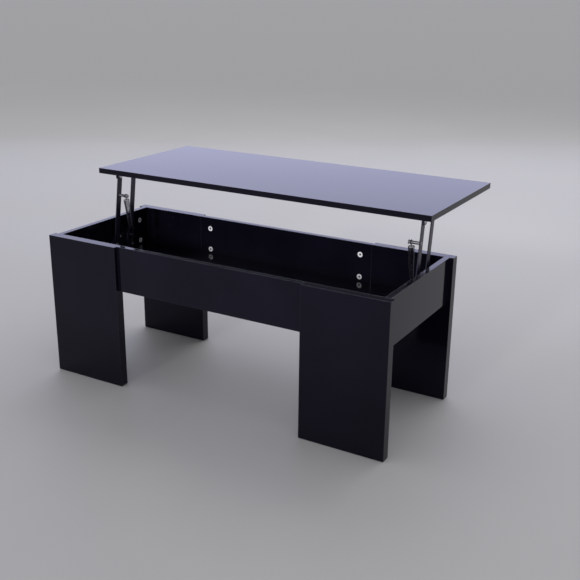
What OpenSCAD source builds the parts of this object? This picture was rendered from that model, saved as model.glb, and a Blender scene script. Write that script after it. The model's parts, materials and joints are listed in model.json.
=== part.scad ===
// Lift top coffee table, millimetres.
// X runs along the table, +Y to its rear, +Z up. The origin is on the floor under the
// middle of the table as stored, with the top raised and moved to the rear.

/* [Table] */

// Width over the leg panels
table_width = 1020; // [940:10:1160]

// Depth over the leg panels
table_depth = 412; // [400:2:460]

// Height of the leg panels, floor to rim
rim_height = 400; // [380:2:430]

// Thickness of a leg panel
leg_thickness = 25; // [22:1:30]

// Width of a leg panel
leg_width = 230; // [220:2:260]

// Thickness of the box panels
panel_thickness = 15; // [15:1:18]

// Height of the storage box walls
wall_height = 123; // [121:1:132]

// How far each end panel sits in from the ends of the legs
end_inset = 11; // [6:1:24]

// Height of the felt pad under a leg
glide_height = 1.5; // [1:0.5:3]

/* [Lift top] */

// Thickness of the lifting board
board_thickness = 15; // [15:1:22]

// How far the board laps over the legs, front and rear
board_lap = 7; // [0:1:20]

// Gap between the closed board and the rim
rim_gap = 2; // [2:0.5:4]

/* [Lift mechanism] */

// Distance between the two pivots of an arm
arm_length = 203; // [198:1:206]

// Lean of the arms past upright when raised, degrees
rest_lean = 8.5; // [6:0.5:12]

// Slope of the arms above level when closed, degrees
closed_slope = 19.8; // [18.5:0.1:20]

// Distance between the front and the rear arm
arm_spacing = 62; // [58:1:70]

// Width of an arm
arm_width = 18; // [14:1:18]

// Thickness of an arm
arm_thickness = 3; // [2.5:0.5:3]

// Radius of the pivot rivets
pivot_radius = 4; // [3:0.5:4.5]

// Height of the lower pivots above the box floor
pivot_rise = 28.5; // [27:0.5:29]

// Distance of the spring peg from the arm's lower pivot
spring_peg_reach = 148; // [138:1:150]

// Outer radius of the spring at its upper end
spring_radius = 8.5; // [6.5:0.5:8.5]

/* [Hardware] */

// Radius of a cam lock
cam_radius = 7.5; // [6:0.5:7.5]

// Distance of a cam lock from its joint
cam_setback = 34; // [30:1:36]

/* [Hidden] */
$fn = 32;
e = 0.02;
run = 0.05;

half_w = table_width / 2;
half_d = table_depth / 2;
seam_x = half_w - leg_width;
end_out = half_w - end_inset;
end_in = end_out - panel_thickness;
inner_y = half_d - leg_thickness;
apron_y = inner_y + panel_thickness;
wall_low = rim_height - wall_height;
floor_top = wall_low + panel_thickness;
core_y = inner_y + panel_thickness / 2;
core_x = end_out - panel_thickness / 2;

// Lift geometry: board shift and rise between closed and raised
board_shift = arm_length * (sin(rest_lean) + cos(closed_slope));
board_rise = arm_length * (cos(rest_lean) - sin(closed_slope));
board_width = table_width;
board_depth = table_depth + 2 * board_lap;
board_low = rim_height + rim_gap + board_rise;

// Reach of the top bracket past its pivots, and its gap to the front leg when closed
bracket_end = 11;
bracket_gap = 2.4;

// Pivot places, as [y, z]
front_pivot = [
  arm_length * cos(closed_slope) + bracket_end + bracket_gap - inner_y,
  floor_top + pivot_rise
];
rear_pivot = front_pivot + [arm_spacing, 0];
lean = [sin(rest_lean), cos(rest_lean)];
front_top_pivot = front_pivot + arm_length * lean;
rear_top_pivot = rear_pivot + arm_length * lean;
spring_peg = front_pivot + spring_peg_reach * lean;

// Peg on the front arm that carries the spring
peg_radius = 4;

// Spring anchor, behind and above the front arm's lower pivot
anchor_back = 40;
anchor_up = 26;
anchor = front_pivot + [anchor_back, anchor_up];
spring_run = norm(anchor - spring_peg);
spring_tilt = atan2(anchor[0] - spring_peg[0], spring_peg[1] - anchor[1]);
coil_start = 10;
hook_length = 26;
coil_length = spring_run - coil_start - hook_length;
wire = 1;
end_turn = 2;
upper_eye = peg_radius + 1.5;
lower_eye = 5.5;
spring_foot = spring_radius - 3;

// Planes across the mechanism, measured as x on the right-hand side
plate_t = 2.5;
plate_in = end_in - plate_t;
arm_out = end_in - 10;
arm_in = arm_out - arm_thickness;
head_out = arm_in - 0.3;
head_t = 2;
flange_out = arm_out + 3.5;
spring_x = arm_in - 24;
tab_out = spring_x + 12;
tab_in = tab_out - plate_t;

// Stop peg: it touches the rear edge of the raised rear arm
stop_radius = 4;
stop_reach = 34;
stop_gap = 0.1;
stop_place = rear_pivot + stop_reach * lean
  + (arm_width / 2 + stop_radius + stop_gap) * [lean[1], -lean[0]];

frame_shift = -(board_shift + board_depth / 2 - half_d) / 2;

// Cam locks: one pair near the rim and one near the box floor
cam_levels = [rim_height - 33, floor_top + 12];
dowel_level = (rim_height + floor_top) / 2;
floor_level = wall_low + panel_thickness / 2;
floor_dowels_x = [-(seam_x + 60), 0, seam_x + 60];
floor_dowels_y = [-90, 90];

// Bracket screws, between and behind the pivots
base_screw_places = [
  front_pivot + [15, -18], front_pivot + [47, -18], front_pivot + [31, 18],
  rear_pivot + [19, -16]
];
top_screw_places = [0, 0.34, 0.66, 1];

// A box from one corner to the other
module block(low, high) {
  translate(low) cube(high - low);
}

// A round bar along X, centred on [y, z]
module bar_x(x0, x1, at, r) {
  translate([x0, at[0], at[1]]) rotate([0, 90, 0]) cylinder(r = r, h = x1 - x0);
}

// A round bar along Y, centred on [x, z]
module bar_y(y0, y1, at, r) {
  translate([at[0], y0, at[1]]) rotate([-90, 0, 0]) cylinder(r = r, h = y1 - y0);
}

// Puts a right-hand piece on the left or right side
module side(s) {
  if (s < 0) mirror([1, 0, 0]) children();
  else children();
}

// Puts a front piece at the front or rear
module face(s) {
  if (s > 0) mirror([0, 1, 0]) children();
  else children();
}

// ---- base: panels ----

// Bolts that tie an end panel to the leg's inner face, or their bores
module end_bolts(r) {
  for (z = cam_levels) {
    bar_y(-(inner_y + 10), -(inner_y - cam_setback + 3), [core_x, z], r);
  }
}

// Bolts that tie the apron to the leg's edge, or their bores
module apron_bolts(r) {
  for (z = cam_levels) {
    bar_x(seam_x - cam_setback + 3, seam_x + 10, [-core_y, z], r);
  }
}

// Dowels that locate the apron and the end panel on the leg, or their bores
module leg_dowels(r) {
  bar_x(seam_x - 12, seam_x + 12, [-core_y, dowel_level], r);
  bar_y(-(inner_y + 12), -(inner_y - 12), [core_x, dowel_level], r);
}

// Dowels along the long edges of the box floor, or their bores
module long_dowels(r) {
  for (x = floor_dowels_x) {
    bar_y(-(inner_y + 10), -(inner_y - 16), [x, floor_level], r);
  }
}

// Dowels along the short edges of the box floor, or their bores
module short_dowels(r) {
  for (y = floor_dowels_y) {
    bar_x(end_in - 16, end_in + 10, [y, floor_level], r);
  }
}

// The front right leg panel
module leg_panel() {
  difference() {
    block([seam_x, -half_d, glide_height], [half_w, -inner_y, rim_height]);
    end_bolts(3 + e);
    apron_bolts(3 + e);
    leg_dowels(4 + e);
    long_dowels(4 + e);
  }
}

// The front apron with its cam pockets
module apron() {
  difference() {
    block([-seam_x, -apron_y, wall_low], [seam_x, -inner_y, rim_height]);
    for (s = [-1, 1]) side(s) {
      apron_bolts(3 + e);
      leg_dowels(4 + e);
      for (z = cam_levels) {
        bar_y(-(inner_y + 12.5), -inner_y + 1, [seam_x - cam_setback, z], cam_radius);
      }
    }
    long_dowels(4 + e);
  }
}

// The right end panel with its cam pockets and screw holes
module end_panel() {
  difference() {
    block([end_in, -inner_y, wall_low], [end_out, inner_y, rim_height]);
    for (s = [-1, 1]) face(s) {
      end_bolts(3 + e);
      leg_dowels(4 + e);
      for (z = cam_levels) {
        bar_x(end_in - 1, end_in + 12.5, [-(inner_y - cam_setback), z], cam_radius);
      }
    }
    short_dowels(4 + e);
    for (p = base_screw_places) bar_x(end_in - 1, end_in + 12, p, 2 + e);
  }
}

module leg_front_left() { color([0.12, 0.12, 0.15]) side(-1) leg_panel(); }

module leg_front_right() { color([0.12, 0.12, 0.15]) leg_panel(); }

module leg_rear_left() { color([0.12, 0.12, 0.15]) side(-1) face(1) leg_panel(); }

module leg_rear_right() { color([0.12, 0.12, 0.15]) face(1) leg_panel(); }

module apron_front() { color([0.12, 0.12, 0.15]) apron(); }

module apron_rear() { color([0.12, 0.12, 0.15]) face(1) apron(); }

module end_left() { color([0.12, 0.12, 0.15]) side(-1) end_panel(); }

module end_right() { color([0.12, 0.12, 0.15]) end_panel(); }

module box_floor() {
  color([0.10, 0.10, 0.12]) difference() {
    block([-end_in, -inner_y, wall_low], [end_in, inner_y, floor_top]);
    for (s = [-1, 1]) {
      face(s) long_dowels(4 + e);
      side(s) short_dowels(4 + e);
    }
  }
}

// ---- base: fittings ----

// One cam lock with its mouth at the origin facing -Y and its bolt coming from +X
module cam_lock() {
  difference() {
    rotate([-90, 0, 0]) cylinder(r = cam_radius - e, h = 12.4);
    translate([-2, panel_thickness / 2, 0]) rotate([0, 90, 0]) cylinder(r = 3.3, h = 12);
    for (t = [0, 90]) rotate([0, t, 0]) translate([-4, -1, -0.8]) cube([8, 3, 1.6]);
  }
}

// The four cam locks of the front apron
module apron_cams() {
  for (s = [-1, 1]) side(s) {
    for (z = cam_levels) {
      translate([seam_x - cam_setback, -inner_y, z]) mirror([0, 1, 0]) cam_lock();
    }
  }
}

// The four cam locks of the right end panel
module end_cams() {
  for (s = [-1, 1]) face(s) {
    for (z = cam_levels) {
      translate([end_in, -(inner_y - cam_setback), z]) rotate([0, 0, -90]) cam_lock();
    }
  }
}

module cams_front() { color([0.75, 0.75, 0.78]) apron_cams(); }

module cams_rear() { color([0.75, 0.75, 0.78]) face(1) apron_cams(); }

module cams_left() { color([0.75, 0.75, 0.78]) side(-1) end_cams(); }

module cams_right() { color([0.75, 0.75, 0.78]) end_cams(); }

module cam_bolts() {
  color([0.65, 0.66, 0.68]) for (f = [-1, 1], s = [-1, 1]) face(f) side(s) {
    end_bolts(3);
    apron_bolts(3);
  }
}

module dowels() {
  color([0.78, 0.62, 0.42]) {
    for (f = [-1, 1]) face(f) {
      for (s = [-1, 1]) side(s) leg_dowels(4);
      long_dowels(4);
    }
    for (s = [-1, 1]) side(s) short_dowels(4);
  }
}

module glides() {
  color([0.2, 0.2, 0.2]) for (f = [-1, 1], s = [-1, 1]) face(f) side(s) {
    for (x = [seam_x + 22, half_w - 22]) {
      translate([x, -(half_d - leg_thickness / 2), 0]) cylinder(r = 8, h = glide_height);
    }
  }
}

// ---- lift mechanism, right-hand pieces ----

// Side plate with pivot bosses, spring tab, foot and stop peg
module base_bracket() {
  low_z = floor_top + 0.5;
  high_z = front_pivot[1] + 36;
  difference() {
    union() {
      translate([plate_in, 0, 0]) rotate([90, 0, 90]) linear_extrude(plate_t) polygon([
        [front_pivot[0] - 14, low_z], [rear_pivot[0] + 30, low_z],
        [rear_pivot[0] + 30, high_z], [rear_pivot[0] + 6, high_z],
        [rear_pivot[0] - 8, front_pivot[1] + 26], [front_pivot[0] + 10, front_pivot[1] + 26],
        [front_pivot[0] - 14, front_pivot[1] + 8]
      ]);
      block([tab_in, anchor[0] - 9, low_z], [end_in, anchor[0] + 9, low_z + plate_t]);
      block([tab_in, anchor[0] - 9, low_z], [tab_out, anchor[0] + 9, anchor[1] + 8]);
      for (p = [front_pivot, rear_pivot]) bar_x(arm_out + 0.3, plate_in + 1, p, 10);
      bar_x(head_out, plate_in + 1, stop_place, stop_radius);
      bar_x(spring_x - 5, tab_in + 1, anchor, 2.5);
      bar_x(spring_x - 6.5, spring_x - 5, anchor, 4);
    }
    for (p = [front_pivot, rear_pivot]) bar_x(arm_out - 1, end_in + 1, p, pivot_radius + e);
    for (p = base_screw_places) bar_x(plate_in - 1, end_in + 1, p, 2.3);
  }
}

// Rivet through an arm: its head is inboard and its tail ends at x
module rivet(at, tail) {
  bar_x(head_out - head_t, head_out, at, pivot_radius + 3);
  bar_x(head_out - e, tail, at, pivot_radius);
}

module base_rivets() {
  for (p = [front_pivot, rear_pivot]) rivet(p, end_in - 0.1);
}

// Pan head screws that fix the side plate to the end panel
module base_screws() {
  for (p = base_screw_places) {
    bar_x(plate_in - 2, plate_in, p, 4);
    bar_x(plate_in - e, end_in + 11.5, p, 2);
  }
}

// Flat arm with rounded ends, leaning from one pivot to the other
module arm(from, to, extra) {
  translate([arm_in, 0, 0]) rotate([90, 0, 90]) linear_extrude(arm_thickness) difference() {
    union() {
      for (p = [from, to]) translate(p) circle(r = arm_width / 2);
      translate(from) rotate(-rest_lean)
        translate([e - arm_width / 2, 0]) square([arm_width - 2 * e, arm_length]);
    }
    for (p = [from, to]) translate(p) circle(r = pivot_radius + run);
    for (p = extra) translate(p) circle(r = peg_radius + e);
  }
}

// Peg on the front arm that carries the spring's upper hook
module arm_peg() {
  bar_x(spring_x - 5.5, arm_out, spring_peg, peg_radius);
  bar_x(spring_x - 7, spring_x - 5.5, spring_peg, peg_radius + 1.5);
}

// Places children on the spring's line: the peg at the origin, the anchor down -Z
module on_spring() {
  translate([spring_x, spring_peg[0], spring_peg[1]]) rotate([spring_tilt, 0, 0]) children();
}

// Wire eye in the plane across the pegs
module eye(r) {
  rotate([0, 90, 0]) rotate_extrude() translate([r, 0]) circle(r = wire, $fn = 16);
}

// Upper hook and close-wound coil, which narrows downwards
module spring() {
  on_spring() {
    eye(upper_eye);
    translate([0, 0, -coil_start]) cylinder(r = wire, h = coil_start - upper_eye);
    translate([0, 0, -coil_start - end_turn]) cylinder(r = spring_radius, h = end_turn);
    translate([0, 0, -coil_start - coil_length]) difference() {
      cylinder(r1 = spring_foot, r2 = spring_radius, h = coil_length - end_turn / 2);
      translate([0, 0, -e]) cylinder(
        r1 = spring_foot - 2 * wire, r2 = spring_radius - 2 * wire, h = coil_length - end_turn / 2
      );
    }
  }
}

// Lower end turn and hook of the same wire
module spring_end() {
  on_spring() {
    translate([0, 0, -spring_run]) eye(lower_eye);
    translate([0, 0, -spring_run + lower_eye])
      cylinder(r = wire, h = hook_length - lower_eye - end_turn);
    translate([0, 0, -coil_start - coil_length - end_turn])
      cylinder(r = spring_foot, h = end_turn);
  }
}

// Angle under the board with two pivot ears
module top_bracket() {
  y0 = front_top_pivot[0] - bracket_end;
  y1 = rear_top_pivot[0] + bracket_end;
  difference() {
    union() {
      block([spring_x, y0, board_low - plate_t], [flange_out, y1, board_low]);
      translate([flange_out - plate_t, 0, 0]) rotate([90, 0, 90]) linear_extrude(plate_t)
        polygon([
          [y0, board_low], [y0, front_top_pivot[1] - 4], [y0 + 5, front_top_pivot[1] - 9],
          [y0 + 17, front_top_pivot[1] - 9], [y0 + 26, board_low - 10],
          [y1 - 26, board_low - 10], [y1 - 17, front_top_pivot[1] - 9],
          [y1 - 5, front_top_pivot[1] - 9], [y1, front_top_pivot[1] - 4], [y1, board_low]
        ]);
      for (p = [front_top_pivot, rear_top_pivot]) {
        bar_x(arm_out + 0.3, flange_out - 1, p, 7);
      }
    }
    for (p = [front_top_pivot, rear_top_pivot]) {
      bar_x(arm_out - 1, flange_out + 1, p, pivot_radius + e);
    }
    top_screw_holes(2.3, board_low - plate_t - 1, board_low + 1);
  }
}

// Four upright bars where the top bracket is screwed to the board
module top_screw_holes(r, z0, z1) {
  for (k = top_screw_places) {
    y = front_top_pivot[0] + k * arm_spacing;
    translate([spring_x + 9, y, z0]) cylinder(r = r, h = z1 - z0);
  }
}

module top_rivets() {
  for (p = [front_top_pivot, rear_top_pivot]) rivet(p, flange_out - 0.1);
}

module top_screws() {
  top_screw_holes(4, board_low - plate_t - 2, board_low - plate_t);
  top_screw_holes(2, board_low - plate_t - e, board_low + 11);
}

module base_bracket_left() { color([0.18, 0.18, 0.2]) side(-1) base_bracket(); }

module base_bracket_right() { color([0.18, 0.18, 0.2]) base_bracket(); }

module base_rivets_left() { color([0.5, 0.5, 0.52]) side(-1) base_rivets(); }

module base_rivets_right() { color([0.5, 0.5, 0.52]) base_rivets(); }

module base_screws_left() { color([0.6, 0.6, 0.62]) side(-1) base_screws(); }

module base_screws_right() { color([0.6, 0.6, 0.62]) base_screws(); }

module front_arm_left() {
  color([0.2, 0.2, 0.22]) side(-1) arm(front_pivot, front_top_pivot, [spring_peg]);
}

module front_arm_right() {
  color([0.2, 0.2, 0.22]) arm(front_pivot, front_top_pivot, [spring_peg]);
}

module rear_arm_left() {
  color([0.2, 0.2, 0.22]) side(-1) arm(rear_pivot, rear_top_pivot, []);
}

module rear_arm_right() {
  color([0.2, 0.2, 0.22]) arm(rear_pivot, rear_top_pivot, []);
}

module spring_peg_left() { color([0.5, 0.5, 0.52]) side(-1) arm_peg(); }

module spring_peg_right() { color([0.5, 0.5, 0.52]) arm_peg(); }

module spring_left() { color([0.4, 0.4, 0.42]) side(-1) spring(); }

module spring_right() { color([0.4, 0.4, 0.42]) spring(); }

module spring_end_left() { color([0.4, 0.4, 0.42]) side(-1) spring_end(); }

module spring_end_right() { color([0.4, 0.4, 0.42]) spring_end(); }

module top_bracket_left() { color([0.18, 0.18, 0.2]) side(-1) top_bracket(); }

module top_bracket_right() { color([0.18, 0.18, 0.2]) top_bracket(); }

module top_rivets_left() { color([0.5, 0.5, 0.52]) side(-1) top_rivets(); }

module top_rivets_right() { color([0.5, 0.5, 0.52]) top_rivets(); }

module top_screws_left() { color([0.6, 0.6, 0.62]) side(-1) top_screws(); }

module top_screws_right() { color([0.6, 0.6, 0.62]) top_screws(); }

// ---- lift top ----

module buffers() {
  color([0.3, 0.3, 0.3]) for (s = [-1, 1], y = [-140, 140]) side(s) {
    translate([core_x, board_shift + y, board_low - rim_gap + 0.3])
      cylinder(r1 = 4, r2 = 5, h = rim_gap - 0.3);
  }
}

module lift_board() {
  color([0.13, 0.13, 0.16]) difference() {
    block(
      [-board_width / 2, board_shift - board_depth / 2, board_low],
      [board_width / 2, board_shift + board_depth / 2, board_low + board_thickness]
    );
    for (s = [-1, 1]) side(s) top_screw_holes(2 + e, board_low - 1, board_low + 11.5);
  }
}

translate([0, frame_shift, 0]) {
  leg_front_left();
  leg_front_right();
  leg_rear_left();
  leg_rear_right();
  apron_front();
  apron_rear();
  end_left();
  end_right();
  box_floor();
  cams_front();
  cams_rear();
  cams_left();
  cams_right();
  cam_bolts();
  dowels();
  glides();
  base_bracket_left();
  base_bracket_right();
  base_rivets_left();
  base_rivets_right();
  base_screws_left();
  base_screws_right();
  front_arm_left();
  front_arm_right();
  rear_arm_left();
  rear_arm_right();
  spring_peg_left();
  spring_peg_right();
  spring_left();
  spring_right();
  spring_end_left();
  spring_end_right();
  top_bracket_left();
  top_bracket_right();
  top_rivets_left();
  top_rivets_right();
  top_screws_left();
  top_screws_right();
  buffers();
  lift_board();
}
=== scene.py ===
"""Looks of a lift top coffee table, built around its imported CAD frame. Lengths are in metres."""

import json
import math

import bmesh
import bpy
from mathutils import Matrix, Vector


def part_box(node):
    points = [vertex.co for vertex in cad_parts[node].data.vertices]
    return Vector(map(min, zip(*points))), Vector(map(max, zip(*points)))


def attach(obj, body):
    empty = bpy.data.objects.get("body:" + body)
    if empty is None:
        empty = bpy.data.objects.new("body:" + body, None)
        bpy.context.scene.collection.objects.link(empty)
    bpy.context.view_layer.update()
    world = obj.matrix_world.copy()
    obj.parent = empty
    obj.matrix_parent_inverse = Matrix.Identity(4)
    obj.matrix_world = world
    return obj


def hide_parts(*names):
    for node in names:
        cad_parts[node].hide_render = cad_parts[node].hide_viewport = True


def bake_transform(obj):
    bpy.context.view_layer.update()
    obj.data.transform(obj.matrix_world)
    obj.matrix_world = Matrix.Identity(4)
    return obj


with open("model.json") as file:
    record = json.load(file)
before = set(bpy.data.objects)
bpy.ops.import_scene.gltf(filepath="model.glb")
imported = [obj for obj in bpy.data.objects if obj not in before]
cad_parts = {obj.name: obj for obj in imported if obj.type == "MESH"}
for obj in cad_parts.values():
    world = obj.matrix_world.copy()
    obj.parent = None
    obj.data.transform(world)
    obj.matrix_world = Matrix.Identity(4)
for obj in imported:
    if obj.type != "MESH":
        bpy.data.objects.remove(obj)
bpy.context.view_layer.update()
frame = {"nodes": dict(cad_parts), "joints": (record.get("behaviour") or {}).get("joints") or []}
MM = 0.001

# ---------------------------------------------------------------- camera

CAMERA_OFFSET = Vector((1.2494, -1.9264, 1.0751))  # from the middle of the legs, on the floor
CAMERA_YAW = 30.08  # degrees
CAMERA_PITCH = 19.23
CAMERA_ROLL = 0.63
CAMERA_LENS = 55.87  # millimetres, on a 36 mm sensor

# ---------------------------------------------------------------- colours

BOARD_DARK = (0.0032, 0.0029, 0.0060)
BOARD_LIGHT = (0.0046, 0.0042, 0.0086)
EDGE_WORN = (0.030, 0.028, 0.042)
STEEL_PAINT = (0.013, 0.011, 0.021)
STEEL_BARE = (0.33, 0.33, 0.36)
ZINC = (0.62, 0.62, 0.65)
ZINC_DULL = (0.42, 0.42, 0.45)
CAST = (0.95, 0.95, 0.98)
CAST_DULL = (0.86, 0.86, 0.88)
ZINC_DARK = (0.06, 0.06, 0.07)
ZINC_SHADOW = (0.009, 0.008, 0.011)
WIRE_BRIGHT = (0.026, 0.023, 0.032)
WIRE_OILED = (0.009, 0.008, 0.011)
BEECH = (0.62, 0.43, 0.25)
BEECH_DARK = (0.45, 0.29, 0.15)
FELT = (0.030, 0.030, 0.034)
FELT_LINT = (0.085, 0.085, 0.09)
BUFFER = (0.50, 0.50, 0.51)
BUFFER_DUSTY = (0.40, 0.40, 0.41)
FLOOR = (0.56, 0.55, 0.545)
GLOSS_TINT = (0.74, 0.71, 1.0, 1.0)  # of the boards and the painted steel


# ---------------------------------------------------------------- material building


class Nodes:
    """A material's node tree, with short calls for the nodes used here."""

    def __init__(self, name):
        self.mat = bpy.data.materials.new(name)
        self.mat.use_nodes = True
        self.tree = self.mat.node_tree
        self.shader = self.tree.nodes["Principled BSDF"]

    def new(self, kind, **settings):
        node = self.tree.nodes.new(kind)
        for key, value in settings.items():
            setattr(node, key, value)
        return node

    def feed(self, value, socket):
        """Links a socket, or sets a constant."""
        if isinstance(value, bpy.types.NodeSocket):
            self.tree.links.new(value, socket)
        elif isinstance(value, tuple) and len(value) == 3 and socket.type == "RGBA":
            socket.default_value = (*value, 1)
        else:
            socket.default_value = value

    def place(self):
        """Place in the object's own metres."""
        return self.new("ShaderNodeTexCoord").outputs["Object"]

    def scaled(self, vector, scale):
        node = self.new("ShaderNodeMapping")
        self.feed(vector, node.inputs["Vector"])
        node.inputs["Scale"].default_value = scale
        return node.outputs["Vector"]

    def noise(self, vector, scale, detail=3.0, rough=0.5):
        node = self.new("ShaderNodeTexNoise")
        self.feed(vector, node.inputs["Vector"])
        node.inputs["Scale"].default_value = scale
        node.inputs["Detail"].default_value = detail
        node.inputs["Roughness"].default_value = rough
        return node.outputs["Fac"]

    def math(self, operation, a, b=0.0):
        node = self.new("ShaderNodeMath", operation=operation)
        self.feed(a, node.inputs[0])
        self.feed(b, node.inputs[1])
        return node.outputs[0]

    def span(self, value, low, high, out_low=0.0, out_high=1.0):
        """value from low to high, with soft ends, as out_low to out_high."""
        node = self.new("ShaderNodeMapRange", interpolation_type="SMOOTHSTEP")
        self.feed(value, node.inputs["Value"])
        limits = {"From Min": low, "From Max": high, "To Min": out_low, "To Max": out_high}
        for name, number in limits.items():
            node.inputs[name].default_value = number
        return node.outputs["Result"]

    def mix(self, factor, a, b):
        node = self.new("ShaderNodeMix", data_type="RGBA")
        self.feed(factor, node.inputs["Factor"])
        self.feed(a, node.inputs["A"])
        self.feed(b, node.inputs["B"])
        return node.outputs["Result"]

    def bump(self, height, distance, strength=1.0):
        node = self.new("ShaderNodeBump")
        node.inputs["Distance"].default_value = distance
        node.inputs["Strength"].default_value = strength
        self.feed(height, node.inputs["Height"])
        self.feed(node.outputs["Normal"], self.shader.inputs["Normal"])

    def set(self, **inputs):
        """Shader inputs by name, with _ for a space."""
        for key, value in inputs.items():
            self.feed(value, self.shader.inputs[key.replace("_", " ")])


def edge_distance(n, place, low, high):
    """On a box's surface, the distance to the nearest edge of the box, in metres."""
    split = n.new("ShaderNodeSeparateXYZ")
    n.feed(place, split.inputs[0])
    away = []
    for i in range(3):
        centred = n.math("SUBTRACT", split.outputs[i], (low[i] + high[i]) / 2)
        away.append(n.math("SUBTRACT", (high[i] - low[i]) / 2, n.math("ABSOLUTE", centred)))
    least = n.math("MINIMUM", n.math("MINIMUM", away[0], away[1]), away[2])
    most = n.math("MAXIMUM", n.math("MAXIMUM", away[0], away[1]), away[2])
    total = n.math("ADD", n.math("ADD", away[0], away[1]), away[2])
    return n.math("SUBTRACT", n.math("SUBTRACT", total, least), most)


def board_material(name, low, high):
    """Satin black melamine: a fine seam of edge band near each edge, and light wear on the edge."""
    n = Nodes(name)
    place = n.place()
    cloud = n.noise(place, scale=7.0, detail=4.0)
    pores = n.noise(place, scale=900.0, detail=2.0, rough=0.6)
    smear = n.noise(n.scaled(place, (3.0, 11.0, 7.0)), scale=5.0, detail=5.0, rough=0.65)
    scratch = n.noise(n.scaled(place, (14.0, 160.0, 90.0)), scale=9.0, detail=2.0, rough=0.7)
    chips = n.noise(place, scale=160.0, detail=4.0, rough=0.7)
    edge = edge_distance(n, place, low, high)

    seam_starts = n.span(edge, 0.45 * MM, 0.60 * MM)
    seam_ends = n.span(edge, 0.75 * MM, 0.95 * MM, out_low=1.0, out_high=0.0)
    seam = n.math("MULTIPLY", seam_starts, seam_ends)
    near_edge = n.span(edge, 0.1 * MM, 1.3 * MM, out_low=1.0, out_high=0.0)
    wear = n.math("MULTIPLY", near_edge, n.span(chips, 0.52, 0.68))

    plain = n.mix(n.span(cloud, 0.35, 0.65), BOARD_DARK, BOARD_LIGHT)
    worn = n.mix(n.math("MULTIPLY", wear, 0.55), plain, EDGE_WORN)
    colour = n.mix(n.math("MULTIPLY", seam, 0.5), worn, EDGE_WORN)
    rough = n.span(smear, 0.3, 0.75, out_low=0.085, out_high=0.115)
    rough = n.math("ADD", rough, n.span(scratch, 0.66, 0.74, out_high=0.03))
    rough = n.math("ADD", rough, n.math("MULTIPLY", wear, 0.12))
    height = n.math("SUBTRACT", n.math("MULTIPLY", pores, 0.10), seam)
    n.bump(height, distance=0.05 * MM, strength=0.8)
    n.set(Base_Color=colour, Roughness=rough)
    n.shader.inputs["IOR"].default_value = 1.34
    n.shader.inputs["Specular Tint"].default_value = GLOSS_TINT
    return n.mat


def steel_material():
    """Black satin paint on pressed steel, rubbed through to bare metal in small spots."""
    n = Nodes("dark_steel")
    place = n.place()
    peel = n.noise(place, scale=650.0, detail=2.0)
    rubbed = n.span(n.noise(place, scale=120.0, detail=5.0, rough=0.7), 0.66, 0.72)
    drawn = n.noise(n.scaled(place, (1.0, 1.0, 0.12)), scale=420.0)
    colour = n.mix(n.math("MULTIPLY", rubbed, 0.7), STEEL_PAINT, STEEL_BARE)
    paint_rough = n.span(drawn, 0.3, 0.7, out_low=0.26, out_high=0.36)
    rough = n.math("ADD", paint_rough, n.math("MULTIPLY", rubbed, 0.1))
    n.bump(peel, distance=0.04 * MM, strength=0.6)
    n.set(Base_Color=colour, Roughness=rough, Metallic=n.math("MULTIPLY", rubbed, 0.8))
    n.shader.inputs["Coat Weight"].default_value = 0.12
    n.shader.inputs["Coat Roughness"].default_value = 0.2
    n.shader.inputs["Specular Tint"].default_value = GLOSS_TINT
    return n.mat


def metal_material(name, bright, dull, line_scale, rough_low, rough_high, metallic=1.0):
    """Bare or plated metal, with cloudy plating and fine drawn lines."""
    n = Nodes(name)
    place = n.place()
    cloud = n.noise(place, scale=90.0, detail=4.0, rough=0.6)
    lines = n.noise(n.scaled(place, (1.0, 0.2, 1.0)), scale=line_scale)
    n.bump(lines, distance=0.03 * MM, strength=0.5)
    n.set(
        Base_Color=n.mix(n.span(cloud, 0.35, 0.65), dull, bright),
        Roughness=n.span(lines, 0.3, 0.7, rough_low, rough_high),
    )
    n.shader.inputs["Metallic"].default_value = metallic
    return n.mat


def beech_material():
    """Raw beech with its grain along the dowel and short dark flecks."""
    n = Nodes("beech")
    place = n.place()
    grain = n.noise(n.scaled(place, (1.0, 0.15, 1.0)), scale=500.0, detail=4.0, rough=0.7)
    flecks = n.noise(n.scaled(place, (1.0, 0.4, 1.0)), scale=900.0, detail=2.0)
    dark = n.math("MAXIMUM", n.span(grain, 0.3, 0.7), n.span(flecks, 0.6, 0.7))
    colour = n.mix(dark, BEECH, BEECH_DARK)
    n.bump(grain, distance=0.1 * MM, strength=0.6)
    n.set(Base_Color=colour, Roughness=n.span(grain, 0.3, 0.7, 0.6, 0.8))
    return n.mat


def felt_material():
    """Pressed felt: matted fibres and a little lint."""
    n = Nodes("felt")
    place = n.place()
    fibre = n.noise(place, scale=1400.0, detail=5.0, rough=0.8)
    lint = n.noise(place, scale=400.0)
    n.bump(fibre, distance=0.4 * MM, strength=0.9)
    n.set(
        Base_Color=n.mix(n.span(lint, 0.6, 0.68), FELT, FELT_LINT),
        Roughness=n.span(fibre, 0.3, 0.7, 0.85, 1.0),
    )
    n.shader.inputs["Sheen Weight"].default_value = 0.3
    return n.mat


def buffer_material():
    """Milky soft plastic with dust in its pores."""
    n = Nodes("buffer_rubber")
    place = n.place()
    dust = n.noise(place, scale=500.0, detail=4.0, rough=0.7)
    n.bump(dust, distance=0.05 * MM, strength=0.5)
    n.set(
        Base_Color=n.mix(n.span(dust, 0.4, 0.7), BUFFER, BUFFER_DUSTY),
        Roughness=n.span(dust, 0.3, 0.7, 0.3, 0.5),
    )
    n.shader.inputs["Subsurface Weight"].default_value = 0.2
    n.shader.inputs["Subsurface Scale"].default_value = 1 * MM
    return n.mat


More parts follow.
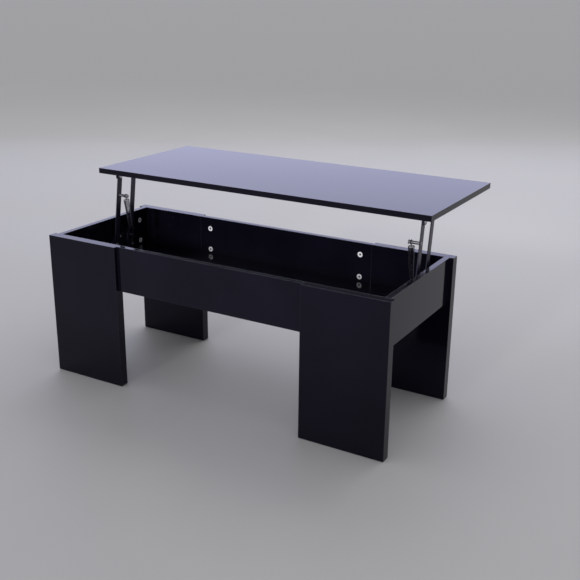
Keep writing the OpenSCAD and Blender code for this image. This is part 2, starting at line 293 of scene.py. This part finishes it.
def floor_material():
    """Plain pale floor with faint unevenness."""
    n = Nodes("floor")
    place = n.place()
    patch = n.noise(place, scale=1.5, detail=4.0)
    darker = tuple(c * 0.95 for c in FLOOR)
    n.set(
        Base_Color=n.mix(n.span(patch, 0.3, 0.7), darker, FLOOR),
        Roughness=n.span(patch, 0.3, 0.7, 0.55, 0.7),
    )
    return n.mat


STEEL = steel_material()
ZINC_PLATE = metal_material(
    "zinc", ZINC, ZINC_DULL, line_scale=700.0, rough_low=0.22, rough_high=0.36
)
PEG_STEEL = metal_material(
    "peg_zinc", ZINC_DULL, ZINC_DARK, line_scale=600.0, rough_low=0.25, rough_high=0.4
)
# Painted shade: dark zinc for the deep faces of the cam locks' cross recesses, standing in for the
# shade inside them.
RECESS_PAINTED_SHADE = metal_material(
    "zinc_recess_painted_shade",
    ZINC_DARK,
    ZINC_SHADOW,
    line_scale=500.0,
    rough_low=0.5,
    rough_high=0.6,
    metallic=0.6,
)
CAST_ZINC = metal_material(
    "cast_zinc",
    CAST,
    CAST_DULL,
    line_scale=500.0,
    rough_low=0.38,
    rough_high=0.5,
    metallic=0.15,
)
SPRING_WIRE = metal_material(
    "spring_wire", WIRE_BRIGHT, WIRE_OILED, line_scale=900.0, rough_low=0.24, rough_high=0.4
)
BEECH_WOOD = beech_material()
FELT_PAD = felt_material()
SOFT_BUFFER = buffer_material()


# ---------------------------------------------------------------- CAD nodes that stay


def dress(node, material, bevel):
    """Gives a CAD node its material and finely rounded edges."""
    obj = frame["nodes"][node]
    obj.data.materials.clear()
    obj.data.materials.append(material)
    weld = obj.modifiers.new("weld", "WELD")
    weld.merge_threshold = 0.005 * MM
    rounded = obj.modifiers.new("bevel", "BEVEL")
    rounded.width = bevel
    rounded.segments = 2
    rounded.limit_method = "ANGLE"
    rounded.angle_limit = math.radians(50)
    obj.modifiers.new("normals", "WEIGHTED_NORMAL")


BOARDS = [
    "leg_front_left",
    "leg_front_right",
    "leg_rear_left",
    "leg_rear_right",
    "apron_front",
    "apron_rear",
    "end_left",
    "end_right",
    "box_floor",
    "lift_board",
]
for board in BOARDS:
    dress(board, board_material("melamine_" + board, *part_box(board)), bevel=0.45 * MM)
for hand in ("left", "right"):
    for part in ("base_bracket_", "top_bracket_", "front_arm_", "rear_arm_"):
        dress(part + hand, STEEL, bevel=0.3 * MM)
dress("cam_bolts", ZINC_PLATE, bevel=0.2 * MM)
dress("dowels", BEECH_WOOD, bevel=0.4 * MM)


# ---------------------------------------------------------------- mesh tools


def add_object(name, data):
    """Puts a mesh, a light or a camera in the scene."""
    obj = bpy.data.objects.new(name, data)
    bpy.context.scene.collection.objects.link(obj)
    return obj


def add_mesh(bm, name, material):
    """Puts a finished bmesh in the scene, with its first material."""
    mesh = bpy.data.meshes.new(name)
    bm.to_mesh(mesh)
    bm.free()
    mesh.materials.append(material)
    return add_object(name, mesh)


def solids(node):
    """The (low, high) box of each separate solid of a CAD node, in a fixed order."""
    mesh = frame["nodes"][node].data
    parent = {}

    def root(key):
        while parent[key] != key:
            parent[key] = parent[parent[key]]
            key = parent[key]
        return key

    keys = [tuple(round(c, 6) for c in v.co) for v in mesh.vertices]
    for key in keys:
        parent.setdefault(key, key)
    for edge in mesh.edges:
        a, b = (root(keys[i]) for i in edge.vertices)
        if a != b:
            parent[a] = b
    groups = {}
    for key in keys:
        groups.setdefault(root(key), []).append(key)
    boxes = [
        (Vector(map(min, zip(*group))), Vector(map(max, zip(*group))))
        for group in groups.values()
    ]
    return sorted(boxes, key=lambda box: tuple(round(c, 4) for c in box[0]))


def facing(origin, out):
    """A matrix that puts local +Z along out, at origin."""
    turn = Vector(out).to_track_quat("Z", "Y").to_matrix().to_4x4()
    return Matrix.Translation(origin) @ turn


def lathe(bm, profile, matrix, segments=40, relief=None, floor_height=0.0):
    """Turns a profile of (radius, height) points about local Z.

    relief(x, y) lowers the points that lie above floor_height.
    """
    rings = []
    for radius, height in profile:
        ring = []
        for k in range(segments if radius > 0 else 1):
            a = math.tau * k / segments
            x, y = radius * math.cos(a), radius * math.sin(a)
            drop = relief(x, y) if relief and height > floor_height else 0.0
            ring.append(bm.verts.new(matrix @ Vector((x, y, height - drop))))
        rings.append(ring)
    for a, b in zip(rings, rings[1:]):
        for k in range(segments):
            j = (k + 1) % segments
            corners = [a[k % len(a)], a[j % len(a)], b[j % len(b)], b[k % len(b)]]
            unique = list(dict.fromkeys(corners))
            if len(unique) > 2:
                bm.faces.new(unique)


def cross_recess(reach, half_width, depth):
    """Relief of a cross-shaped recess with sloping walls."""
    slope = 0.35 * half_width

    def relief(x, y):
        deep = 0.0
        for along, across in ((abs(x), abs(y)), (abs(y), abs(x))):
            side = min(1.0, max(0.0, (half_width - across) / slope + 0.5))
            end = min(1.0, max(0.0, (reach - along) / slope))
            deep = max(deep, side * end)
        return depth * deep

    return relief


def finish_piece(bm, name, material, body, node, sharp=35):
    """Makes the piece, with edges over sharp degrees left crisp, and hides the CAD node it stands
    for.

    A piece with no body is not attached to any body here.
    """
    bmesh.ops.remove_doubles(bm, verts=bm.verts, dist=0.0001 * MM)
    bmesh.ops.recalc_face_normals(bm, faces=bm.faces)
    for edge in bm.edges:
        if len(edge.link_faces) == 2:
            edge.smooth = edge.calc_face_angle() < math.radians(sharp)
    for face in bm.faces:
        face.smooth = True
    obj = add_mesh(bm, name, material)
    if body:
        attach(obj, body)
    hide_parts(node)
    return obj


def dome(radius, height, edge, rings):
    """Profile of a pan head: a flat-topped dome over a short rim, from the middle out."""
    flatness = 3.2
    points = [
        (radius * k / rings, height - (height - edge) * (k / rings) ** flatness)
        for k in range(rings + 1)
    ]
    return points + [(radius, 0.0)]


# ---------------------------------------------------------------- cam locks


def cam_relief():
    """Relief of a cam lock's face: a cross recess, a ring groove and a small pointer."""
    cross = cross_recess(reach=3.9 * MM, half_width=1.15 * MM, depth=2.6 * MM)
    groove_inner = 4.9 * MM
    groove_outer = 5.5 * MM
    groove_depth = 0.35 * MM
    pointer_base = 5.6 * MM
    pointer_tip = 6.8 * MM
    pointer_depth = 0.4 * MM
    pointer_slope = 0.55
    pointer_blunt = 0.1 * MM

    def relief(x, y):
        deep = cross(x, y)
        if groove_inner < math.hypot(x, y) < groove_outer:
            deep = max(deep, groove_depth)
        half = pointer_slope * (pointer_tip - x) + pointer_blunt
        if pointer_base < x < pointer_tip and abs(y) < half:
            deep = max(deep, pointer_depth)
        return deep

    return relief


def cam_locks(node, name, out):
    """Cam lock housings: chamfered die-cast discs, faces towards out, with painted shade in their
    recesses: a dark material on the deep faces.
    """
    bm = bmesh.new()
    axis = Vector(out)
    chamfer = 0.5 * MM
    recess_reach = 6.0 * MM
    recess_depth = 0.9 * MM
    relief = cam_relief()
    rings = 30
    for low, high in solids(node):
        radius = max(high - low) / 2
        depth = min(high - low)
        face = (low + high) / 2 + axis * depth / 2
        flat = radius - chamfer
        profile = [(flat * k / rings, 0.0) for k in range(rings + 1)]
        profile += [(radius, -chamfer), (radius, -depth), (0.0, -depth)]
        first = len(bm.faces)
        lathe(bm, profile, facing(face, axis), 72, relief, floor_height=-0.3 * MM)
        bm.faces.ensure_lookup_table()
        for patch in bm.faces[first:]:
            away = patch.calc_center_median() - face
            # Painted shade: the recess's deep faces take the dark second material.
            if away.length < recess_reach and -away.dot(axis) > recess_depth:
                patch.material_index = 1
    obj = finish_piece(bm, name, CAST_ZINC, "base", node)
    # Second material: the painted shade of the recesses.
    obj.data.materials.append(RECESS_PAINTED_SHADE)


cam_locks("cams_front", "cam_locks_front", (0, 1, 0))
cam_locks("cams_rear", "cam_locks_rear", (0, -1, 0))
cam_locks("cams_left", "cam_locks_left", (1, 0, 0))
cam_locks("cams_right", "cam_locks_right", (-1, 0, 0))


# ---------------------------------------------------------------- screws, rivets, pegs


def screws(node, name, out, body):
    """Pan head screws with cross recesses and threaded shanks, heads towards out."""
    bm = bmesh.new()
    axis = Vector(out)
    along = max(range(3), key=lambda i: abs(axis[i]))
    head_height = 2.0 * MM
    shank_radius = 2.0 * MM
    pitch = 1.4 * MM
    root_radius = 1.5 * MM
    crest_radius = 1.98 * MM
    crest_drop = 0.5 * MM
    tip_radius = 1.3 * MM
    tip_height = 0.6 * MM
    cross = cross_recess(reach=2.3 * MM, half_width=0.55 * MM, depth=1.3 * MM)
    for low, high in solids(node):
        size = high - low
        radius = min(size[i] for i in range(3) if i != along) / 2
        shank = size[along] - head_height
        seat = (low + high) / 2 + axis * (size[along] / 2 - head_height)
        profile = dome(radius, head_height, 0.45 * head_height, 26) + [(shank_radius, 0.0)]
        turns = int(shank / pitch)
        for k in range(turns):
            z = -shank * k / turns
            profile += [(root_radius, z), (crest_radius, z - crest_drop)]
        profile += [(tip_radius, -shank + tip_height), (0.0, -shank)]
        lathe(bm, profile, facing(seat, axis), 56, cross, floor_height=0.5 * MM)
    finish_piece(bm, name, ZINC_PLATE, body, node)


def rivets(node, name, out, body, peened):
    """Domed rivets with a dimple, heads towards out, and a peened tail where it shows."""
    bm = bmesh.new()
    axis = Vector(out)
    head_height = 2.0 * MM
    head_lip = 3.0 * MM
    rim = 0.7 * MM
    dimple = head_height - 0.25 * MM
    dimple_floor = 1.2 * MM
    dimple_mouth = 1.6 * MM
    for low, high in solids(node):
        length = (high - low).x
        radius = (high - low).z / 2
        shank = radius - head_lip
        tail = head_height - length
        seat = (low + high) / 2 + axis * (length / 2 - head_height)
        profile = [(0.0, dimple), (dimple_floor, dimple), (dimple_mouth, head_height)]
        profile += [p for p in dome(radius, head_height, rim, 14) if p[0] > dimple_mouth]
        profile += [(shank, 0.0), (shank, tail)]
        if peened:
            profile += [
                (shank + 1.4 * MM, tail - 0.1 * MM),
                (shank + 1.2 * MM, tail - 0.7 * MM),
                (shank - 1.0 * MM, tail - 1.1 * MM),
                (0.0, tail - 1.1 * MM),
            ]
        else:
            profile.append((0.0, tail))
        lathe(bm, profile, facing(seat, axis), 48)
    finish_piece(bm, name, ZINC_PLATE, body, node)


def spring_peg(node, name, out, body):
    """Turned peg on the front arm: a shank with a collar, and a rounded head."""
    bm = bmesh.new()
    axis = Vector(out)
    low, high = (Vector(corner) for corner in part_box(node))
    length = (high - low).x
    shank = 4.0 * MM
    collar = 5.2 * MM
    head = 5.5 * MM
    profile = [
        (0.0, 0.0),
        (shank, 0.0),
        (shank, 3.1 * MM),
        (collar, 3.3 * MM),
        (collar, 4.6 * MM),
        (shank, 4.9 * MM),
        (shank, length - 1.5 * MM),
        (head - 0.2 * MM, length - 1.5 * MM),
        (head, length - 1.3 * MM),
        (head, length - 0.6 * MM),
        (head - 0.5 * MM, length - 0.1 * MM),
        (0.0, length),
    ]
    lathe(bm, profile, facing((low + high) / 2 - axis * length / 2, axis))
    finish_piece(bm, name, PEG_STEEL, body, node)


# ---------------------------------------------------------------- springs

WIRE = 1.0 * MM  # radius
EYE_RADIUS = 5.5 * MM
COIL_TURNS = 26
COIL_TAPER = 3.0 * MM  # how much less the coil's radius is at its lower end
COIL_START = 10.0 * MM + WIRE  # below the middle of the arm's peg
COIL_TO_PEG = 26.0 * MM  # from the coil's lower end to the middle of the bracket's peg


def tube(bm, path, radius, sides=8):
    """Sweeps a round wire along a path of points, with closed ends."""
    rings = []
    previous = None
    for i, point in enumerate(path):
        ahead = path[min(i + 1, len(path) - 1)] - path[max(i - 1, 0)]
        ahead.normalize()
        if previous is None:
            side = ahead.orthogonal().normalized()
        else:
            side = (previous - ahead * previous.dot(ahead)).normalized()
        previous = side
        up = ahead.cross(side)
        ring = []
        for k in range(sides):
            a = math.tau * k / sides
            beside, above = side * radius * math.cos(a), up * radius * math.sin(a)
            ring.append(bm.verts.new(point + beside + above))
        rings.append(ring)
    for a, b in zip(rings, rings[1:]):
        for k in range(sides):
            j = (k + 1) % sides
            bm.faces.new([a[k], a[j], b[j], b[k]])
    bm.faces.new(rings[0][::-1])
    bm.faces.new(rings[-1])


def smooth_path(points, steps=6):
    """A Catmull-Rom curve through the points."""
    out = []
    full = [points[0], *points, points[-1]]
    for p0, p1, p2, p3 in zip(full, full[1:], full[2:], full[3:]):
        for k in range(steps):
            t = k / steps
            out.append(
                0.5
                * (
                    2 * p1
                    + (p2 - p0) * t
                    + (2 * p0 - 5 * p1 + 4 * p2 - p3) * t**2
                    + (3 * p1 - p0 - 3 * p2 + p3) * t**3
                )
            )
    return out + [points[-1]]


class SpringLine:
    """The line of one spring, from the arm's peg down to the bracket's peg."""

    def __init__(self, hand):
        joint = next(j for j in frame["joints"] if j["name"] == hand + "_spring_stretch")
        coil_low, coil_high = (Vector(corner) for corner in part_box("spring_" + hand))
        peg_low, peg_high = (Vector(corner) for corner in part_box("spring_peg_" + hand))
        hook_low = Vector(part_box("spring_end_" + hand)[0])
        peg = (peg_low + peg_high) / 2
        self.down = Vector(joint["axis"]).normalized()
        self.across = Vector((1, 0, 0))
        self.rear = self.across.cross(self.down).normalized()
        self.top = Vector(((coil_low.x + coil_high.x) / 2, peg.y, peg.z))
        self.length = (self.top.z - hook_low.z - EYE_RADIUS - WIRE) / -self.down.z
        self.radius = (coil_high - coil_low).x / 2 - WIRE
        self.foot_radius = self.radius - COIL_TAPER

    def at(self, along, rear=0.0):
        """A point on the line, or a little to the rear of it."""
        return self.top + self.down * along + self.rear * rear

    def around(self, along, turn, radius):
        """A point round the line, turn being a share of a whole turn."""
        angle = math.tau * turn
        side = self.across * math.cos(angle) + self.rear * math.sin(angle)
        return self.top + self.down * along + side * radius

    def eye(self, along, start, end, steps=26):
        """A hook's round eye, from start to end degrees."""
        angles = [math.radians(start + (end - start) * k / steps) for k in range(steps + 1)]
        return [
            self.at(along) + (self.down * math.cos(a) + self.rear * math.sin(a)) * EYE_RADIUS
            for a in angles
        ]


def coil_path(line, coil_end):
    """Upper hook and coil, in one wire. The coil narrows downwards."""
    steps = COIL_TURNS * 22
    eye = line.eye(0.0, 18, 360)
    neck = smooth_path(
        [
            eye[-1],
            line.at(COIL_START - 3.4 * MM, rear=0.4 * MM),
            line.around(COIL_START - 1.3 * MM, -1 / 6, line.radius * 0.62),
            line.around(COIL_START, 0.0, line.radius),
        ]
    )
    coil = [
        line.around(
            COIL_START + (coil_end - COIL_START) * k / steps,
            COIL_TURNS * k / steps,
            line.radius - (line.radius - line.foot_radius) * k / steps,
        )
        for k in range(1, steps + 1)
    ]
    return eye[:-1] + neck[:-1] + coil


def hook_path(line, coil_end):
    """Lower end turn, shank and hook, in one wire."""
    steps = 16
    turn = [
        line.around(coil_end + 1.7 * MM * k / steps, 0.75 * k / steps, line.foot_radius)
        for k in range(steps + 1)
    ]
    shank = smooth_path(
        [
            turn[-1],
            line.around(coil_end + 3.2 * MM, 0.86, line.foot_radius * 0.5),
            line.at(coil_end + 6.5 * MM),
            line.at(line.length - EYE_RADIUS - 5.0 * MM),
            line.at(line.length - EYE_RADIUS, rear=0.2 * MM),
        ]
    )
    return turn[:-1] + shank[:-1] + line.eye(line.length, 180, -165)


def wire_piece(path, name, body, node):
    """One piece of spring wire, drawn a hair thinner than its CAD solid."""
    bm = bmesh.new()
    tube(bm, path, 0.96 * WIRE)
    return finish_piece(bm, name, SPRING_WIRE, body, node, sharp=80)


def spring(hand):
    """Coil spring, baked in place, and its lower hook."""
    line = SpringLine(hand)
    coil_end = line.length - COIL_TO_PEG
    end_body = f"{hand}_spring_end"
    whole = wire_piece(
        coil_path(line, coil_end), "coil_spring_" + hand, None, "spring_" + hand
    )
    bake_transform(whole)
    wire_piece(
        hook_path(line, coil_end), "spring_hook_" + hand, end_body, "spring_end_" + hand
    )


# ---------------------------------------------------------------- pads and buffers


def pads(node, name, material, body, bulge):
    """Thin round pads with a rolled rim and a slightly pillowed lower face."""
    bm = bmesh.new()
    rings = 8
    for low, high in solids(node):
        radius = (high - low).x / 2
        height = (high - low).z
        face = 0.93 * radius
        root = Vector(((low.x + high.x) / 2, (low.y + high.y) / 2, high.z))
        profile = [
            (face * k / rings, height - bulge * (k / rings) ** 2) for k in range(rings + 1)
        ]
        profile += [
            (0.985 * radius, 0.88 * height - bulge),
            (radius, 0.55 * height),
            (0.97 * radius, 0.0),
            (0.0, 0.0),
        ]
        lathe(bm, profile, facing(root, (0, 0, -1)))
    finish_piece(bm, name, material, body, node)


for hand, inward in (("left", 1), ("right", -1)):
    screws("base_screws_" + hand, "bracket_screws_" + hand, (inward, 0, 0), "base")
    screws("top_screws_" + hand, "board_screws_" + hand, (0, 0, -1), "lift_top")
    rivets(
        "base_rivets_" + hand, "lower_rivets_" + hand, (inward, 0, 0), "base", peened=False
    )
    rivets(
        "top_rivets_" + hand, "upper_rivets_" + hand, (inward, 0, 0), "lift_top", peened=True
    )
    spring_peg("spring_peg_" + hand, "hook_peg_" + hand, (inward, 0, 0), hand + "_front_arm")
    spring(hand)
pads("glides", "felt_pads", FELT_PAD, "base", bulge=0.1 * MM)
pads("buffers", "soft_buffers", SOFT_BUFFER, "lift_top", bulge=0.4 * MM)


# ---------------------------------------------------------------- floor, light, camera

legs_low, legs_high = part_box("leg_front_left")[0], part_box("leg_rear_right")[1]
table_centre = Vector(((legs_low[0] + legs_high[0]) / 2, (legs_low[1] + legs_high[1]) / 2, 0))


def floor():
    """A wide round floor."""
    bm = bmesh.new()
    profile = [(radius, 0.0) for radius in (0.0, 1.0, 2.0, 4.0, 10.0, 90.0)]
    lathe(bm, profile, Matrix.Translation(table_centre), 96)
    bmesh.ops.recalc_face_normals(bm, faces=bm.faces)
    obj = add_mesh(bm, "floor", floor_material())


def area_light(name, at, aim, size, power, colour, spread=180):
    """A rectangular light, placed and aimed from the table's centre, that the camera can't see."""
    data = bpy.data.lights.new(name, "AREA")
    data.shape = "RECTANGLE"
    data.size, data.size_y = size
    data.energy = power
    data.color = colour
    data.spread = math.radians(spread)
    obj = add_object(name, data)
    obj.location = table_centre + Vector(at)
    obj.rotation_mode = "QUATERNION"
    obj.rotation_quaternion = (Vector(at) - Vector(aim)).to_track_quat("Z", "Y")
    obj.visible_camera = False
    return obj


def world_light(colour, strength):
    """Even light from all round."""
    world = bpy.data.worlds.new("studio")
    world.use_nodes = True
    background = world.node_tree.nodes["Background"]
    background.inputs["Color"].default_value = (*colour, 1)
    background.inputs["Strength"].default_value = strength
    bpy.context.scene.world = world


def studio_lights():
    """A window that shows only in the gloss, a soft fill from behind, and a narrow low key."""
    window = area_light(
        "rear_window",
        at=(-1.9, 3.3, 1.6),
        aim=(0, 0, 0.5),
        size=(6.5, 2.6),
        power=56,
        colour=(0.555, 0.58, 1.0),
    )
    window.visible_diffuse = False
    fill = area_light(
        "rear_fill",
        at=(-0.4, 3.0, 3.2),
        aim=(0, 0.6, 0),
        size=(5.0, 3.0),
        power=52,
        colour=(1.0, 0.99, 0.98),
    )
    fill.visible_glossy = False
    area_light(
        "front_key",
        at=(-0.1, -3.0, 1.15),
        aim=(0, 0.15, 0.33),
        size=(1.0, 0.4),
        power=1.05,
        colour=(1, 1, 1),
        spread=12,
    )


def camera():
    """The camera, placed from the table's centre and turned by its yaw, pitch and roll."""
    data = bpy.data.cameras.new("camera")
    data.lens = CAMERA_LENS
    data.sensor_width = 36
    data.clip_end = 200
    obj = add_object("camera", data)
    obj.location = table_centre + CAMERA_OFFSET
    turn = Matrix.Rotation(math.radians(CAMERA_YAW), 3, "Z")
    tilt = Matrix.Rotation(math.radians(90 - CAMERA_PITCH), 3, "X")
    roll = Matrix.Rotation(math.radians(CAMERA_ROLL), 3, "Z")
    obj.rotation_mode = "QUATERNION"
    obj.rotation_quaternion = (turn @ tilt @ roll).to_quaternion()
    bpy.context.scene.camera = obj


floor()
world_light(colour=(0.94, 0.95, 1.0), strength=0.62)
studio_lights()
camera()
bpy.context.scene.view_settings.view_transform = "Standard"
